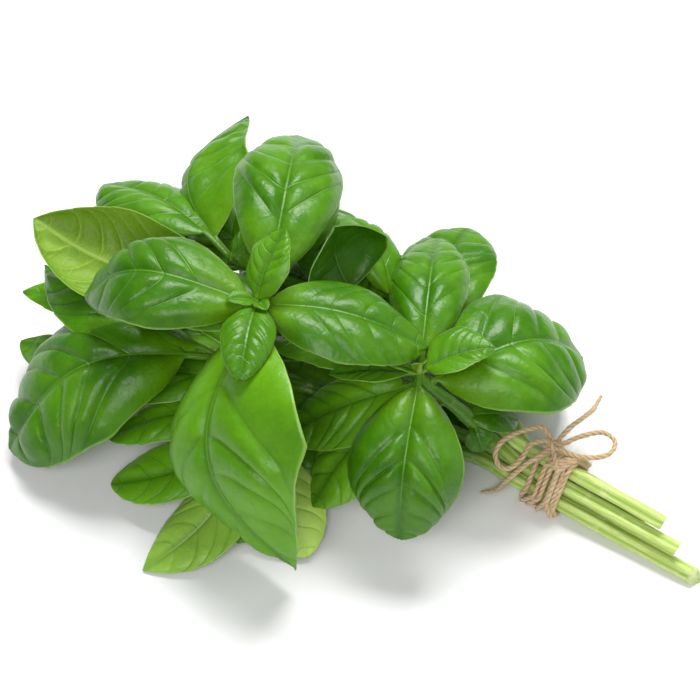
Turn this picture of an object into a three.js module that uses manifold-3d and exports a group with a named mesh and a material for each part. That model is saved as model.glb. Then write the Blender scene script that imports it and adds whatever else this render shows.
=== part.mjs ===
// Basil bunch: six leafy stems lying on a surface, bound with jute twine near their cut ends.
// Millimetres, +Z up. The stems run along X with the cut ends toward +X and the leaves toward -X.
import * as THREE from 'three'
import Module from 'manifold-3d'

const wasm = await Module()
wasm.setup()
const { Manifold, Mesh } = wasm

// ---- driving dimensions ----
const STEM_R_CUT = 2.4 // stem radius at the cut end
const STEM_R_TOP = 1.5 // stem radius at the growing tip
const STEM_SIDES = 8
const TOP_ROOT = 0.985 // the topmost leaves are rooted just inside the growing tip
const STEM_STEPS = 16
const BLADE = 0.8 // leaf blade thickness
const PETIOLE = 1.9 // leaf stalk thickness
const ROWS = 9 // steps along a large leaf
const COLS = 4 // steps across a leaf
const TWINE_R = 0.9 // jute twine radius
const TIE_X = 71 // middle of the binding along the stems
const TIE_GAP = 0.5 // free space between the stems and the twine
const WRAPS = 5
const RING_STEPS = 18
const SLIVER = 0.05 // faces finer than this are merged where leaves are fused
const KNOT = [2.5, 2.1, 2.1] // half sizes of the knot
const KNOT_AT = [67.5, 3, 18.8] // middle of the knot
const SHIFT = [-9.23, 22.9, 0] // puts the object's box centre over the origin

// ---- where each stem runs: cut end, two points in the tie, then up to its growing tip ----
const STEMS = {
  sprig_top: [[108, 1.3, 12.6], [80, 1, 13.9], [60, 1, 13.9], [42, -3, 24], [13, -18, 47], [-9, -32, 61],
    [-15, -36, 68]],
  sprig_right: [[115, -1.7, 8], [80, -1.9, 9.25], [60, -1.9, 9.25], [51, -6, 19], [42, -12, 34],
    [34, -18, 46], [31.5, -19, 51]],
  sprig_back: [[101, 4, 7.8], [80, 3.9, 9.25], [60, 3.9, 9.25], [48, 7, 19], [30, 9, 34], [8, 3, 42],
    [-4, -1, 45]],
  sprig_rear: [[98, 7.1, 2.5], [80, 6.6, 4.9], [60, 6.6, 4.9], [38, 10, 14], [5, 10, 28], [-28, -6, 42],
    [-42, -14, 50]],
  sprig_left: [[106, 1.8, 2.5], [80, 0.6, 4.7], [60, 0.6, 4.7], [38, -4, 10], [12, -16, 18], [-14, -32, 30],
    [-28, -40, 38]],
  sprig_low: [[122.5, -3.4, 2.5], [80, -4.8, 4.7], [60, -4.8, 4.7], [44, -7.2, 8], [20, -20, 12],
    [-2, -38, 17], [-12, -47, 21]],
}

// ---- leaves: stem position, tip, width and form ----
// roll turns the face about the midrib, arch and bend bow the midrib across and along the face,
// fold and curl shape the halves (one value, or one for each half), point and widest the outline
const LEAVES = {
  sprig_top: {
    a1: [0.9625, [-69, -51, 50], 36, { stalk: 0.05, roll: -10, arch: 15, fold: 14, curl: 62, nod: 1.15,
      point: 0.75 }],
    a2: [0.9625, [31, -14, 57], 34, { stalk: 0.05, roll: -2, arch: 6, fold: 16, curl: 64 }],
    a3: [1, [-16, -19, 84], 17, { stalk: 0.06, roll: -20, arch: 2, fold: 18, ripple: 0.06, point: 0.8 }],
    a4: [1, [-2, -61, 66], 17, { stalk: 0.06, arch: 4, fold: 14, curl: 50 }],
    a5: [0.9167, [25.3, -73.2, 8.8], 71.5, { roll: 35, arch: 21, bend: 12.5, fold: [19, -2], curl: [27, 88],
      stalk: 0.06, point: 0.95, widest: 0.39 }],
    a6: [0.9, [-49, 33, 61], 37, { roll: 6, arch: 17, fold: 10, curl: 60, widest: 0.52, point: 0.5 }],
    a7: [0.783, [-56, -43, 46], 26, { arch: 9 }],
    a8: [0.617, [-19, -24, 37], 25, { roll: 28, arch: 3, fold: 8, curl: 50 }],
    a9: [1, [-21, -42, 71], 6, { arch: 1, fold: 25, curl: 30, stalk: 0.05 }],
    h1: [1, [-8.5, -39, 71.5], 5, { arch: 1, fold: 25, curl: 30, stalk: 0.05 }],
  },
  sprig_right: {
    b1: [1, [48, -3, 58], 20, { roll: -10, arch: 2, fold: 35, curl: 40, point: 0.8 }],
    b2: [1, [10, -34, 50], 15, { roll: 15, arch: 1, fold: 30, curl: 40, point: 0.9 }],
    b3: [0.933, [45, -47.2, 10], 38, { arch: 15, fold: 12, curl: 58, stalk: 0.05, widest: 0.5,
      point: 0.5 }],
    b4: [0.933, [4, 33, 46], 27, { arch: 10, fold: 12, curl: 66, widest: 0.55, point: 0.5 }],
    b5: [0.833, [59.5, 30.5, 29.5], 48, { roll: 10, arch: 15, fold: 8, curl: 50, stalk: 0.05, widest: 0.5,
      point: 0.5 }],
    b6: [0.85, [0, -42.5, 23], 27, { roll: -10, arch: 4, fold: 10, curl: 50 }],
    b7: [0.717, [17, -53, 11], 30, { roll: -4, arch: 9, bend: 3, fold: 8, curl: 50 }],
    b8: [0.6, [51.5, -12.5, 20.5], 9, { roll: 10, arch: 2, fold: 15, curl: 30 }],
    b9: [0.63, [54.5, 3, 22], 13, { roll: 15, arch: 3, fold: 10, curl: 30, stalk: 0.05 }],
    h2: [1, [34.5, -21, 59], 5, { arch: 1, fold: 30, curl: 30, stalk: 0.05 }],
    h3: [1, [23, -25, 56], 5, { arch: 1, fold: 30, curl: 30, stalk: 0.05 }],
  },
  sprig_back: {
    c1: [1, [-11, -1.5, 72], 38, { arch: -3, fold: [-6, 0], curl: [-20, -90], point: 0.5, widest: 0.5 }],
    c2: [0.833, [-24, 23, 48], 20, { roll: 20, arch: 8, bend: 0, fold: 10, curl: 60 }],
    c3: [0.667, [5, 50, 36.5], 31, { arch: 7, bend: -6, fold: 10, curl: 40, widest: 0.6, point: 0.5 }],
    c4: [0.9, [-33, 9, 45.5], 20, { arch: 3 }],
    g2: [0.833, [-20, 30, 16], 34, { arch: 10, fold: 10, curl: 50 }],
    g3: [0.583, [18, 38, -3], 34, { arch: 14, fold: 10, curl: 50 }],
    g4: [0.583, [52, 36, 6], 30, { arch: 6, fold: 10, curl: 50 }],
  },
  sprig_rear: {
    d0: [0.867, [-33, 29.5, 54], 17, { roll: 30, arch: 8 }],
    d1: [1, [-75, 40, 50], 45, { roll: -38, arch: 13, bend: -11, fold: [-30, -24], curl: [30, -20],
      point: 0.85, widest: 0.4 }],
    d2: [1, [-100.5, -4, 40], 30, { roll: 14, arch: 7, fold: 8, curl: 50, stalk: 0.2, point: 0.5,
      widest: 0.55 }],
    d3: [0.942, [-102.7, -35.3, 50], 40, { roll: 150, arch: 2, bend: 9, fold: [0, 0], curl: [62, 80],
      point: 0.85, widest: 0.5 }],
    g1: [0.833, [-46, 46, 12], 40, { arch: 12, fold: 10, curl: 50 }],
    d4: [1, [-35, -6, 56], 18, { arch: 2 }],
    g5: [0.667, [-12, 50, -5], 38, { arch: 5, fold: 10, curl: 50 }],
    g6: [0.833, [-92, 8, 14], 40, { arch: 12, fold: 10, curl: 50 }],
    g7: [0.667, [-50, -8, 6], 36, { arch: 6, fold: 10, curl: 50 }],
    g9: [0.76, [-60, 17, 10], 29, { arch: 4, roll: -6, fold: 10, curl: 50 }],
  },
  sprig_left: {
    e1: [0.958, [-98.5, -38, 33], 36, { roll: 8, arch: 6, bend: -4, fold: [4, -40], curl: [40, 50],
      point: 1 }],
    e2: [0.833, [-104, -44, 22], 27, { roll: -5, arch: 4, bend: 7, fold: 15, curl: 30, point: 0.8 }],
    e3: [0.833, [-98, -54, 11], 27, { arch: 3, bend: -6 }],
    e4: [0.975, [-76, -86, 5], 50, { roll: -12, arch: 17, bend: 7, fold: 8, curl: [54, 56], point: 0.45,
      widest: 0.53 }],
    e5: [0.667, [-25, -14, 11], 30, { arch: 0 }],
    g8: [0.833, [-86, -27, -4], 36, { arch: 6, fold: 10, curl: 50 }],
  },
  sprig_low: {
    f1: [0.917, [-48, -70, 14], 20, { arch: 6, bend: 4 }],
    f2: [0.975, [-41, -79, 6], 22, { arch: 1, bend: -5, fold: [10, 20], curl: 30 }],
    f3: [0.975, [-15.5, -96, 0.5], 26, { roll: 4, arch: -3, bend: -5, fold: [8, 10], curl: [20, 50],
      point: 0.9, widest: 0.5 }],
    f8: [0.833, [11.5, -49, 5], 17, { arch: 3 }],
    f7: [0.55, [28, 16, 2], 24, { arch: -3, fold: 8, curl: 20 }],
    f5: [0.958, [4, -73, 4], 24, { arch: 4 }],
    f6: [0.958, [23, -64, 2], 24, { arch: 2, widest: 0.6 }],
  },
}

// ---- small vector and number helpers ----
const V = (a) => new THREE.Vector3(...a)
const rad = (d) => (d * Math.PI) / 180
const clamp = (x, a, b) => Math.min(b, Math.max(a, x))
const pair = (x) => (Array.isArray(x) ? x : [x, x])

// a smooth curve through a stem's points, t from 0 to 1 in equal steps from point to point
function along(points, t) {
  const n = points.length - 1
  const i = Math.min(Math.floor(t * n), n - 1)
  const f = t * n - i
  const [p0, p1, p2, p3] = [Math.max(i - 1, 0), i, i + 1, Math.min(i + 2, n)].map((k) => points[k])
  return V([0, 1, 2].map((k) => 0.5 * (2 * p1[k] + (p2[k] - p0[k]) * f
    + (2 * p0[k] - 5 * p1[k] + 4 * p2[k] - p3[k]) * f * f
    + (3 * p1[k] - p0[k] - 3 * p2[k] + p3[k]) * f * f * f)))
}

// a closed solid from rings of points: a skin along the rings and a fan on each end
function skin(rings, closed = false) {
  const sides = rings[0].length
  const verts = rings.flat().flatMap((p) => [p.x, p.y, p.z])
  const tris = []
  const last = closed ? rings.length : rings.length - 1
  for (let i = 0; i < last; i++) {
    const a = i * sides
    const b = ((i + 1) % rings.length) * sides
    for (let j = 0; j < sides; j++) {
      const k = (j + 1) % sides
      tris.push(a + j, b + k, b + j, a + j, a + k, b + k)
    }
  }
  if (!closed) {
    const e = (rings.length - 1) * sides
    for (let j = 1; j < sides - 1; j++) tris.push(0, j + 1, j, e, e + j, e + j + 1)
  }
  return solid(verts, tris)
}

function solid(verts, tris) {
  const mesh = new Mesh({ numProp: 3, vertProperties: new Float32Array(verts), triVerts: new Uint32Array(tris) })
  const made = new Manifold(mesh)
  return made.volume() < 0 ? new Manifold(new Mesh({ numProp: 3, vertProperties: new Float32Array(verts),
    triVerts: new Uint32Array(tris).reverse() })) : made
}

// ---- a stem: a slightly square tube that thins toward its growing tip ----
function stem(points) {
  const rings = []
  for (let i = 0; i <= STEM_STEPS; i++) {
    const t = i / STEM_STEPS
    const at = along(points, t)
    const dir = along(points, Math.min(1, t + 0.01)).sub(along(points, Math.max(0, t - 0.01))).normalize()
    const side = new THREE.Vector3().crossVectors(dir, V([0, 0, 1])).normalize()
    const up = new THREE.Vector3().crossVectors(side, dir)
    const r = THREE.MathUtils.lerp(STEM_R_CUT, STEM_R_TOP, t * t)
    rings.push(Array.from({ length: STEM_SIDES }, (_, j) => {
      const a = (2 * Math.PI * j) / STEM_SIDES
      return at.clone().addScaledVector(side, r * Math.cos(a)).addScaledVector(up, r * Math.sin(a))
    }))
  }
  return skin(rings)
}

// ---- a leaf: stalk and blade on a bowed midrib, halves folded and curled, edge waved ----
function leaf(base, tip, width, o, rows = ROWS, cols = COLS) {
  const { roll = 0, arch = 6, bend = 0, fold = 12, curl = 45, nod = 1, stalk = 0.12, ripple = 0.03,
    point = 0.62, widest = 0.44 } = o
  const [foldL, foldR] = pair(fold).map(rad)
  const [curlL, curlR] = pair(curl).map(rad)
  const chord = tip.clone().sub(base)
  const length = chord.length()
  const a = chord.clone().normalize()
  const up = V([0, 0, 1])
  const n0 = up.clone().addScaledVector(a, -up.dot(a)).normalize()
  const s0 = new THREE.Vector3().crossVectors(a, n0)
  const face = n0.multiplyScalar(Math.cos(rad(roll))).addScaledVector(s0, Math.sin(rad(roll)))
  const side = new THREE.Vector3().crossVectors(a, face)
  const middle = (u) => {
    const hump = Math.sin(Math.PI * clamp(u, 0, 1) ** nod)
    return base.clone().addScaledVector(a, u * length).addScaledVector(face, hump * arch)
      .addScaledVector(side, hump * bend)
  }
  const surface = (u, v) => {
    const t = middle(u + 0.001).sub(middle(u - 0.001)).normalize()
    const s = side.clone().addScaledVector(t, -side.dot(t)).normalize()
    const n = new THREE.Vector3().crossVectors(s, t)
    const q = clamp((u - stalk) / (1 - stalk), 0, 1)
    const shape = q < widest ? (1 - ((widest - q) / widest) ** 2) ** 0.6
      : (1 - ((q - widest) / (1 - widest)) ** 2) ** point
    const w = Math.max((width / 2) * shape, u < 0.9 ? 1.1 : 0.25)
    const phi = v < 0 ? foldL : foldR
    const k = v < 0 ? curlL : curlR
    const av = Math.abs(v)
    const x = ((Math.sin(phi) - Math.sin(phi - k * av)) / k) * Math.sign(v)
    const z = (Math.cos(phi - k * av) - Math.cos(phi)) / k
      + ripple * av * av * Math.sin(2 * Math.PI * (2.5 * u + 0.37 * Math.sign(v)))
    const p = middle(u).addScaledVector(s, w * x).addScaledVector(n, w * z)
    p.z = Math.max(p.z, BLADE / 2) // a leaf that reaches the surface lies flat on it
    return p
  }
  const us = [0, stalk]
  for (let i = 1; i < rows; i++) {
    const f = i / (rows - 1)
    us.push(stalk + (1 - stalk) * (0.5 * f + 0.25 * (1 - Math.cos(Math.PI * f))))
  }
  const vs = Array.from({ length: cols + 1 }, (_, j) => (2 * j) / cols - 1)
  const top = []
  const under = []
  for (const u of us) {
    const thick = THREE.MathUtils.lerp(PETIOLE, BLADE, clamp((u / stalk - 0.6) / 0.9, 0, 1))
    for (const v of vs) {
      const p = surface(u, v)
      const du = surface(u + 0.01, v).sub(surface(u - 0.01, v))
      const dv = surface(u, Math.min(1, v + 0.02)).sub(surface(u, Math.max(-1, v - 0.02)))
      const n = new THREE.Vector3().crossVectors(dv, du).normalize()
      const hi = p.clone().addScaledVector(n, thick / 2)
      const lo = p.clone().addScaledVector(n, -thick / 2)
      hi.z = Math.max(0, hi.z)
      lo.z = Math.max(0, lo.z)
      top.push(hi)
      under.push(lo)
    }
  }
  const verts = [...top, ...under].flatMap((p) => [p.x, p.y, p.z])
  const m = cols + 1
  const off = top.length
  const tris = []
  for (let i = 0; i < us.length - 1; i++) {
    for (let j = 0; j < cols; j++) {
      const [p, q, r, s] = [i * m + j, i * m + j + 1, (i + 1) * m + j + 1, (i + 1) * m + j]
      tris.push(p, q, r, p, r, s, off + p, off + r, off + q, off + p, off + s, off + r)
    }
  }
  const rim = []
  for (let j = 0; j < cols; j++) rim.push(j)
  for (let i = 0; i < us.length - 1; i++) rim.push(i * m + cols)
  for (let j = cols; j > 0; j--) rim.push((us.length - 1) * m + j)
  for (let i = us.length - 1; i > 0; i--) rim.push(i * m)
  rim.forEach((p, i) => {
    const q = rim[(i + 1) % rim.length]
    tris.push(p, off + p, off + q, p, off + q, q)
  })
  return solid(verts, tris)
}

// ---- a leafy stem: its leaves sunk into it, and everything that crosses fused ----
function pieces(name) {
  const made = { stem: stem(STEMS[name]) }
  for (const [id, [t, tip, width, form]] of Object.entries(LEAVES[name])) {
    const small = width < 24
    made[id] = leaf(along(STEMS[name], Math.min(t, TOP_ROOT)), V(tip), width, form, small ? 7 : ROWS, COLS)
  }
  return made
}

// ---- twine: rings round the stems, tilted so that they cross, and a knot on top ----
const TIE = [[-4.8, 4.7], [6.7, 4.7], [1, 13.9]] // middles of the outer stems in the tie, as y and z
function ring(x0, tilt, phase) {
  const reach = STEM_R_CUT + TIE_GAP + TWINE_R
  const path = []
  for (let i = 0; i < RING_STEPS; i++) {
    const a = (2 * Math.PI * i) / RING_STEPS + 0.02
    const c = TIE.reduce((best, p) => (p[0] * Math.cos(a) + p[1] * Math.sin(a)
      > best[0] * Math.cos(a) + best[1] * Math.sin(a) ? p : best))
    path.push(V([x0 + tilt * Math.sin(a + phase), c[0] + reach * Math.cos(a), c[1] + reach * Math.sin(a)]))
  }
  const rings = path.map((p, i) => {
    const dir = path[(i + 1) % path.length].clone().sub(path[(i + path.length - 1) % path.length]).normalize()
    const a = (2 * Math.PI * i) / RING_STEPS + 0.02
    const out = V([0, Math.cos(a), Math.sin(a)])
    out.addScaledVector(dir, -out.dot(dir)).normalize()
    const side = new THREE.Vector3().crossVectors(dir, out)
    return Array.from({ length: 6 }, (_, j) => p.clone()
      .addScaledVector(out, TWINE_R * Math.cos((Math.PI * j) / 3))
      .addScaledVector(side, TWINE_R * Math.sin((Math.PI * j) / 3)))
  })
  return skin(rings, true)
}

function binding() {
  const parts = []
  for (let i = 0; i < WRAPS; i++) {
    const f = i / (WRAPS - 1) - 0.5
    parts.push(ring(TIE_X + 11 * f, i % 2 ? 3.2 : -3.2, 0.9 * i))
  }
  const k = Manifold.sphere(1, 12).scale(KNOT).translate(KNOT_AT)
  return Manifold.union([...parts, k])
}

// ---- free twine: two bow loops and two ends, each a plain tube along its route ----
const CORDS = {
  bow_loop_left: [[64.8, 4.6, 20.4], [62, 4.4, 22.4], [58.5, 0, 22.9], [55.3, -6, 22.4],
    [55.1, -10.5, 20.4], [57.9, -12.5, 18.3], [61.1, -11.5, 18.5], [62.5, -7.5, 19.9], [62.6, -2.5, 21.5],
    [64.7, 1.7, 20.9]],
  bow_loop_right: [[70.6, 5, 20.5], [74, 9.5, 21.9], [78.4, 13.4, 22.5], [82.8, 13.4, 21.8],
    [84, 9.8, 20.9], [81.4, 6, 20.2], [76, 3, 19.9], [71, 2.1, 19.9]],
  twine_end_low: [[67.1, 0.3, 19.3], [66.5, -3.4, 20], [64.2, -7.4, 18.2], [61, -9.6, 12.4],
    [58.4, -10.6, 7], [56.2, -11.4, 3], [52.6, -13, 1.2]],
  twine_end_high: [[67.9, 6.1, 19.5], [69, 10.5, 21.4], [70, 17, 20.4], [69.5, 23.5, 16.9],
    [68, 29.5, 13.4], [66.9, 33.5, 11.4]],
}

function cord(points) {
  const path = new THREE.CatmullRomCurve3(points.map(V))
  const outline = new THREE.Shape()
  for (let i = 0; i < 8; i++) {
    const a = (Math.PI * i) / 4
    const [x, y] = [TWINE_R * Math.cos(a), TWINE_R * Math.sin(a)]
    if (i) outline.lineTo(x, y)
    else outline.moveTo(x, y)
  }
  outline.closePath()
  return new THREE.ExtrudeGeometry(outline, { steps: 16, extrudePath: path, bevelEnabled: false })
}

// ---- nodes ----
const LEAF_GREEN = new THREE.MeshStandardMaterial({ color: 0x5b9632, roughness: 0.45 })
const JUTE = new THREE.MeshStandardMaterial({ color: 0xa78f69, roughness: 0.9 })
const group = new THREE.Group()

function node(name, geometry, material) {
  geometry.translate(...SHIFT)
  const mesh = new THREE.Mesh(geometry, material)
  mesh.name = name
  group.add(mesh)
}

function toGeometry(manifold) {
  const mesh = manifold.getMesh()
  const geometry = new THREE.BufferGeometry()
  geometry.setAttribute('position', new THREE.BufferAttribute(Float32Array.from(mesh.vertProperties), 3))
  geometry.setIndex(new THREE.BufferAttribute(Uint32Array.from(mesh.triVerts), 1))
  return geometry.toNonIndexed()
}

for (const name of Object.keys(STEMS)) {
  node(name, toGeometry(Manifold.union(Object.values(pieces(name))).simplify(SLIVER)), LEAF_GREEN)
}
node('twine_binding', toGeometry(binding().simplify(SLIVER)), JUTE)
for (const [name, points] of Object.entries(CORDS)) node(name, cord(points), JUTE)

export default group
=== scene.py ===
"""Bunch of fresh basil: six leafy stems lying on a surface, bound near their cut ends with jute twine.

Lengths in the tables are millimetres in the making frame; placed() brings them to the object's frame.
"""

import math

import bpy
import numpy as np
from bpy.props import FloatProperty, FloatVectorProperty, IntProperty, PointerProperty
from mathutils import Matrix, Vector


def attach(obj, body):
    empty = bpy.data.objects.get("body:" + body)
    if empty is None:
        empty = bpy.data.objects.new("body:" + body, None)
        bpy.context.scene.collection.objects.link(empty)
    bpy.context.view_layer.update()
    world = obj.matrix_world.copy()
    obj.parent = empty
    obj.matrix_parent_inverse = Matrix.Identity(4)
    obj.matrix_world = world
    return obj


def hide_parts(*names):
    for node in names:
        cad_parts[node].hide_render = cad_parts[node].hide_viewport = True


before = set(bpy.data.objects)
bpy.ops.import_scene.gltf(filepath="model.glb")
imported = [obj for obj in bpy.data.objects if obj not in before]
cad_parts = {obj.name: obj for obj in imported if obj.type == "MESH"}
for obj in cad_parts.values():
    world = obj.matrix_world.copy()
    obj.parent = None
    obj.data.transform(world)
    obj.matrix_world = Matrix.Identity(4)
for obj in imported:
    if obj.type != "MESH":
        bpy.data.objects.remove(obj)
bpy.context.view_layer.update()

bl_info = {
    "name": "Basil Bunch",
    "version": (1, 0, 0),
    "blender": (4, 5, 0),
    "location": "View3D > Sidebar > Basil",
    "description": "Builds a bunch of fresh basil tied with jute twine",
    "category": "Add Mesh",
}

BODY = "root"
MM = 0.001
PLACE = np.array([-9.23, 22.9, 0]) * MM  # puts the object's box centre over the origin

# ---- where each stem runs: cut end, two points in the tie, then up to its growing tip ----
STEMS = {
    "sprig_top": [(108, 1.3, 12.6), (80, 1, 13.9), (60, 1, 13.9), (42, -3, 24), (13, -18, 47), (-9, -32, 61),
                  (-15, -36, 68)],
    "sprig_right": [(115, -1.7, 8), (80, -1.9, 9.25), (60, -1.9, 9.25), (51, -6, 19), (42, -12, 34),
                    (34, -18, 46), (31.5, -19, 51)],
    "sprig_back": [(101, 4, 7.8), (80, 3.9, 9.25), (60, 3.9, 9.25), (48, 7, 19), (30, 9, 34), (8, 3, 42),
                   (-4, -1, 45)],
    "sprig_rear": [(98, 7.1, 2.5), (80, 6.6, 4.9), (60, 6.6, 4.9), (38, 10, 14), (5, 10, 28), (-28, -6, 42),
                   (-42, -14, 50)],
    "sprig_left": [(106, 1.8, 2.5), (80, 0.6, 4.7), (60, 0.6, 4.7), (38, -4, 10), (12, -16, 18),
                   (-14, -32, 30), (-28, -40, 38)],
    "sprig_low": [(122.5, -3.4, 2.5), (80, -4.8, 4.7), (60, -4.8, 4.7), (44, -7.2, 8), (20, -20, 12),
                  (-2, -38, 17), (-12, -47, 21)],
}
CUT_SLANT = dict(zip(STEMS, (0.15, 0.2, -0.1, 0.1, -0.2, -0.9)))  # how far each cut leans, as rise over run
CUT_REACH = 0.009  # the length of stem that leans with its cut

# ---- leaves: place on the stem, tip, width and form ----
# roll turns the face about the midrib, arch and bend bow the midrib out of the face and sideways, nod moves
# the bow toward the tip, stalk is the bare share at the base, fold and curl shape the halves (one value or
# one for each), ripple waves the margin, point and widest give the outline, puff is how far the quilts
# between the side veins stand up, rise how far those veins sweep forward, tone lightens
# (above 0) or darkens a leaf, partly for its own lighter or darker green and partly as painted light on
# leaves that lie in the shade of others and painted shade on leaves in dark hollows, and young turns it to
# the colour of new growth
LEAF = dict(roll=0, arch=6, bend=0, fold=12, curl=45, nod=1, stalk=0.12, ripple=0.03, point=0.62, widest=0.44,
            puff=0.024, rise=0.55, young=0)
BUD = dict(arch=1, curl=30, stalk=0.05, young=0.5)
HUNG = dict(fold=10, curl=50)
LEAVES = {
    "sprig_top": {
        "a1": (0.9625, (-69, -51, 50), 36, dict(
            stalk=0.05, roll=-10, arch=15, fold=14, curl=62, nod=1.15, point=0.75, tone=-0.4, puff=0.027)),
        "a2": (0.9625, (31, -14, 57), 34, dict(stalk=0.05, roll=-2, fold=16, curl=64, tone=-0.4)),
        "a3": (1, (-16, -19, 84), 17, dict(
            stalk=0.06, roll=-20, arch=2, fold=18, ripple=0.06, point=0.8, young=0.7)),
        "a4": (1, (-2, -61, 66), 17, dict(
            stalk=0.06, arch=4, fold=14, curl=50, young=0.7, puff=0.03, tone=-0.4)),
        "a5": (0.9167, (25.3, -73.2, 8.8), 71.5, dict(
            roll=35, arch=21, bend=12.5, fold=(19, -2), curl=(27, 88), stalk=0.06, point=0.95, widest=0.39,
            rise=0.8, puff=0.018, tone=0.6)),
        "a6": (0.9, (-49, 33, 61), 37, dict(
            roll=6, arch=17, fold=10, curl=60, widest=0.52, point=0.5, puff=0.035, tone=0.1)),
        "a7": (0.783, (-56, -43, 46), 26, dict(arch=9, tone=-0.2)),
        "a8": (0.617, (-19, -24, 37), 25, dict(roll=28, arch=3, fold=8, curl=50, tone=0.5)),
        "a9": (1, (-21, -42, 71), 6, dict(BUD, fold=25)),
        "h1": (1, (-8.5, -39, 71.5), 5, dict(BUD, fold=25)),
    },
    "sprig_right": {
        "b1": (1, (48, -3, 58), 20, dict(roll=-10, arch=2, fold=35, curl=40, point=0.8, young=0.4)),
        "b2": (1, (10, -34, 50), 15, dict(
            roll=15, arch=1, fold=30, curl=40, point=0.9, young=0.5, tone=-0.3)),
        "b3": (0.933, (45, -47.2, 10), 38, dict(
            arch=15, curl=58, stalk=0.05, widest=0.5, point=0.5, tone=-0.4, puff=0.03, rise=0.85)),
        "b4": (0.933, (4, 33, 46), 27, dict(arch=10, curl=66, widest=0.55, point=0.5, tone=0)),
        "b5": (0.833, (59.5, 30.5, 29.5), 48, dict(
            roll=10, arch=15, fold=8, curl=50, stalk=0.05, widest=0.5, point=0.5, tone=0.1, rise=0.65)),
        # b6 and b7 are lightened as painted light: they lie in the shade of the leaves above
        "b6": (0.85, (0, -42.5, 23), 27, dict(HUNG, roll=-10, arch=4, tone=1.05, puff=0.04, rise=0.7)),
        "b7": (0.717, (17, -53, 11), 30, dict(
            roll=-4, arch=9, bend=3, fold=8, curl=50, tone=1.1, puff=0.035, rise=0.7)),
        "b8": (0.6, (51.5, -12.5, 20.5), 9, dict(roll=10, arch=2, fold=15, curl=30, tone=-0.6)),
        "b9": (0.63, (54.5, 3, 22), 13, dict(roll=15, arch=3, fold=10, curl=30, stalk=0.05, tone=-0.6)),
        "h2": (1, (34.5, -21, 59), 5, dict(BUD, fold=30)),
        "h3": (1, (23, -25, 56), 5, dict(BUD, fold=30)),
    },
    "sprig_back": {
        # c1 is darkened as painted shade: it stands in a dark hollow behind the leaves in front
        "c1": (1, (-11, -1.5, 72), 38, dict(
            arch=-3, fold=(-6, 0), curl=(-20, -90), tone=-0.8, point=0.5, widest=0.5, puff=0.004)),
        "c2": (0.833, (-24, 23, 48), 20, dict(roll=20, arch=8, fold=10, curl=60)),
        "c3": (0.667, (5, 50, 36.5), 31, dict(arch=7, bend=-6, fold=10, curl=40, widest=0.6, point=0.5)),
        "c4": (0.9, (-33, 9, 45.5), 20, dict(arch=3, tone=-0.3)),
        "g2": (0.833, (-20, 30, 16), 34, dict(HUNG, arch=10)),
        "g3": (0.583, (18, 38, -3), 34, dict(HUNG, arch=14)),
        "g4": (0.583, (52, 36, 6), 30, dict(HUNG)),
    },
    "sprig_rear": {
        "d0": (0.867, (-33, 29.5, 54), 17, dict(roll=30, arch=8)),
        "d1": (1, (-75, 40, 50), 45, dict(
            roll=-38, arch=13, bend=-11, fold=(-30, -24), curl=(30, -20), point=0.85, widest=0.4)),
        "d2": (1, (-100.5, -4, 40), 30, dict(
            roll=14, arch=7, fold=8, curl=50, stalk=0.2, point=0.5, widest=0.55, tone=0.2)),
        "d3": (0.942, (-102.7, -35.3, 50), 40, dict(
            roll=150, arch=2, bend=9, fold=(0, 0), curl=(62, 80), point=0.85, widest=0.5, young=0.5)),
        "g1": (0.833, (-46, 46, 12), 40, dict(HUNG, arch=12)),
        "d4": (1, (-35, -6, 56), 18, dict(arch=2, young=0.5)),
        "g5": (0.667, (-12, 50, -5), 38, dict(HUNG, arch=5)),
        "g6": (0.833, (-92, 8, 14), 40, dict(HUNG, arch=12)),
        "g7": (0.667, (-50, -8, 6), 36, dict(HUNG)),
        "g9": (0.76, (-60, 17, 10), 29, dict(HUNG, arch=4, roll=-6, tone=-0.5)),
    },
    "sprig_left": {
        "e1": (0.958, (-98.5, -38, 33), 36, dict(
            roll=8, bend=-4, fold=(4, -40), curl=(40, 50), point=1.0, tone=0.2)),
        "e2": (0.833, (-104, -44, 22), 27, dict(
            roll=-5, arch=4, bend=7, fold=15, curl=30, point=0.8, tone=0.6)),
        "e3": (0.833, (-98, -54, 11), 27, dict(arch=3, bend=-6, young=0.6)),
        "e4": (0.975, (-76, -86, 5), 50, dict(
            roll=-12, arch=17, bend=7, fold=8, curl=(54, 56), point=0.45, widest=0.53, tone=-0.3, puff=0.032,
            rise=0.7)),
        # e5 is lightened as painted light: it lies in the shade of the leaves above
        "e5": (0.667, (-25, -14, 11), 30, dict(arch=0, tone=1.2)),
        "g8": (0.833, (-86, -27, -4), 36, dict(HUNG)),
    },
    "sprig_low": {
        "f1": (0.917, (-48, -70, 14), 20, dict(bend=4, tone=0.7)),
        "f2": (0.975, (-41, -79, 6), 22, dict(arch=1, bend=-5, fold=(10, 20), curl=30, tone=0.9)),
        # f3 and f6 are the palest: partly their own paler green and partly painted light for the shade they
        # lie in
        "f3": (0.975, (-15.5, -96, 0.5), 26, dict(
            roll=4, arch=-3, bend=-5, fold=(8, 10), curl=(20, 50), point=0.9, widest=0.5, tone=1.4)),
        "f8": (0.833, (11.5, -49, 5), 17, dict(arch=3, tone=0.3)),
        "f7": (0.55, (28, 16, 2), 24, dict(arch=-3, fold=8, curl=20, tone=-0.4)),
        "f5": (0.958, (4, -73, 4), 24, dict(arch=4, tone=0.8)),
        "f6": (0.958, (23, -64, 2), 24, dict(arch=2, widest=0.6, tone=2)),
    },
}

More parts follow.
